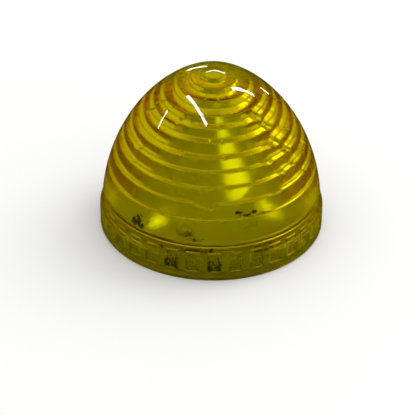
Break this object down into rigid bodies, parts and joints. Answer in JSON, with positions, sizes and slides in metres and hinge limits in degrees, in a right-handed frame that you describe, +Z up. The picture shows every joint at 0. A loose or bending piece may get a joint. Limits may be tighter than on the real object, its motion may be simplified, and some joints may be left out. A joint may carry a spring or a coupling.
{
  "type": "raised dome marker light",
  "caption": "Small raised marker light: a yellow transparent dome lens with stepped inner rings lifts straight off a round base that holds a white cone reflector over its LEDs.",
  "frame": {"origin": "middle of the face it stands on, at the foot of the lens and gasket", "axes": "+Z up through the crown of the dome; -Y is the front; the mounting holes lie on the Y axis"},
  "size_m": [0.064, 0.064, 0.0495],
  "materials": {
    "lens": "polished transparent yellow acrylic, with fine scratches and dirt in the skirt",
    "rubber": "matt pale silicone rubber",
    "gasket": "white closed-cell foam rubber",
    "base": "fine-textured white moulded plastic",
    "board": "satin white solder mask",
    "reflector": "opal white acrylic, with the cone metallised to a satin mirror",
    "nylon": "natural white nylon",
    "led": "white package with a phosphor window",
    "chip": "moulded black epoxy",
    "capacitor": "shrunk sleeve",
    "terminal": "moulded nylon",
    "screw": "zinc plated",
    "spring_steel": "bright spring steel"
  },
  "bodies": {
    "base": {"lens_seal": "rubber", "cable_grommet": "rubber", "base_gasket": "gasket", "base_housing": "base", "circuit_board": "board", "driver_chip": "chip", "bridge_rectifier": "chip", "resistor_1": "chip", "resistor_2": "chip", "capacitor": "capacitor", "terminal_block": "terminal", "cone_reflector": "reflector", "led_1": "led", "led_2": "led", "led_3": "led", "led_4": "led", "led_5": "led", "led_6": "led", "retaining_clip_1": "spring_steel", "retaining_clip_2": "spring_steel", "retaining_clip_3": "spring_steel", "clip_screw_1": "screw", "clip_screw_2": "screw", "clip_screw_3": "screw", "board_screw_1": "screw", "board_screw_2": "screw", "board_screw_3": "screw", "terminal_screw_1": "screw", "terminal_screw_2": "screw", "reflector_screw_1": "nylon", "reflector_screw_2": "nylon", "reflector_screw_3": "nylon"},
    "lens": {"dome_lens": "lens"}
  },
  "joints": [
    {"name": "lens_lift", "type": "slide", "parent": "base", "child": "lens", "axis": [0, 0, 1], "range_m": [0, 0.06]}
  ]
}
